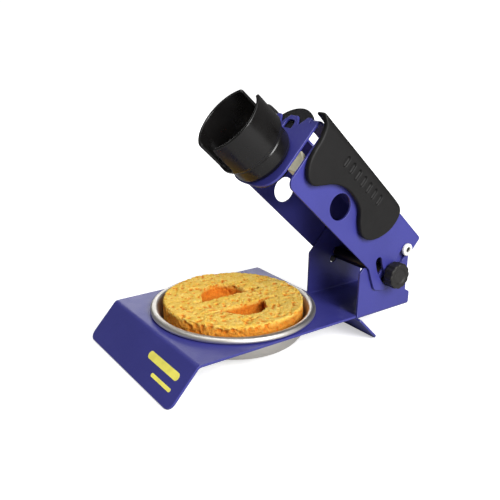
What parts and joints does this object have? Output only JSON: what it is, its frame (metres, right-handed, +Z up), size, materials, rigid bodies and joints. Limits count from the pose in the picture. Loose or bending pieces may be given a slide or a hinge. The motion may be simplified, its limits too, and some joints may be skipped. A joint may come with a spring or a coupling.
{
  "type": "soldering iron stand",
  "caption": "Bench stand for a soldering iron: bent blue steel base with a round cleaning tray and sponge, and a tilting holder channel with a black mouth collar, rubber grip and clamp knob.",
  "frame": {"origin": "centre of the front lip's flat bottom edge, on the bench", "axes": "+Z up, +Y from the front lip to the rear of the stand, +X towards the side that carries the clamp knob"},
  "size_m": [0.0929, 0.1503, 0.1283],
  "materials": {
    "base_plate": "semi-gloss baked enamel",
    "upright_bracket": "semi-gloss baked enamel",
    "holder_channel": "semi-gloss baked enamel",
    "cleaning_tray": "spun satin",
    "cleaning_sponge": "dry cellulose, open pores",
    "grip_cover": "matt moulded silicone rubber",
    "mouth_collar": "moulded phenolic, semi-gloss",
    "collar_clip": "moulded, matt",
    "guide_block_near": "natural nylon",
    "guide_block_far": "natural nylon",
    "pivot_bush_near": "white nylon",
    "pivot_bush_far": "white nylon",
    "pivot_screw_near": "dark zinc plate",
    "pivot_screw_far": "dark zinc plate",
    "pivot_nut_near": "zinc plate",
    "pivot_nut_far": "zinc plate",
    "guide_pin_near": "turned steel",
    "guide_pin_far": "turned steel",
    "clamp_bolt": "zinc plate",
    "clamp_washer_near": "zinc plate",
    "clamp_washer_far": "zinc plate",
    "spacer_tube": "cut tube",
    "clamp_knob": "moulded, semi-matt",
    "knob_insert": "turned"
  },
  "bodies": {
    "stand": {"base_plate": "base_plate", "upright_bracket": "upright_bracket", "pivot_bush_near": "pivot_bush_near", "pivot_bush_far": "pivot_bush_far", "pivot_screw_near": "pivot_screw_near", "pivot_screw_far": "pivot_screw_far", "pivot_nut_near": "pivot_nut_near", "pivot_nut_far": "pivot_nut_far", "guide_pin_near": "guide_pin_near", "guide_pin_far": "guide_pin_far"},
    "holder": {"holder_channel": "holder_channel", "mouth_collar": "mouth_collar", "collar_clip": "collar_clip", "guide_block_near": "guide_block_near", "guide_block_far": "guide_block_far", "grip_cover": "grip_cover", "clamp_bolt": "clamp_bolt", "clamp_washer_near": "clamp_washer_near", "clamp_washer_far": "clamp_washer_far", "spacer_tube": "spacer_tube"},
    "knob": {"clamp_knob": "clamp_knob", "knob_insert": "knob_insert"},
    "tray": {"cleaning_tray": "cleaning_tray"},
    "sponge": {"cleaning_sponge": "cleaning_sponge"}
  },
  "joints": [
    {"name": "holder_tilt", "type": "hinge", "parent": "stand", "child": "holder", "pos_m": [0.02289, 0.13736, 0.04781], "axis": [-1, 0, 0], "range_deg": [-26, 4]},
    {"name": "knob_turn", "type": "hinge", "parent": "holder", "child": "knob", "pos_m": [0.0475, 0.12764, 0.03678], "axis": [1, 0, 0], "continuous": true},
    {"name": "tray_lift", "type": "slide", "parent": "stand", "child": "tray", "axis": [0, 0, 1], "range_m": [0, 0.0075]},
    {"name": "sponge_lift", "type": "slide", "parent": "tray", "child": "sponge", "axis": [0, 0, 1], "range_m": [0, 0.004]}
  ]
}
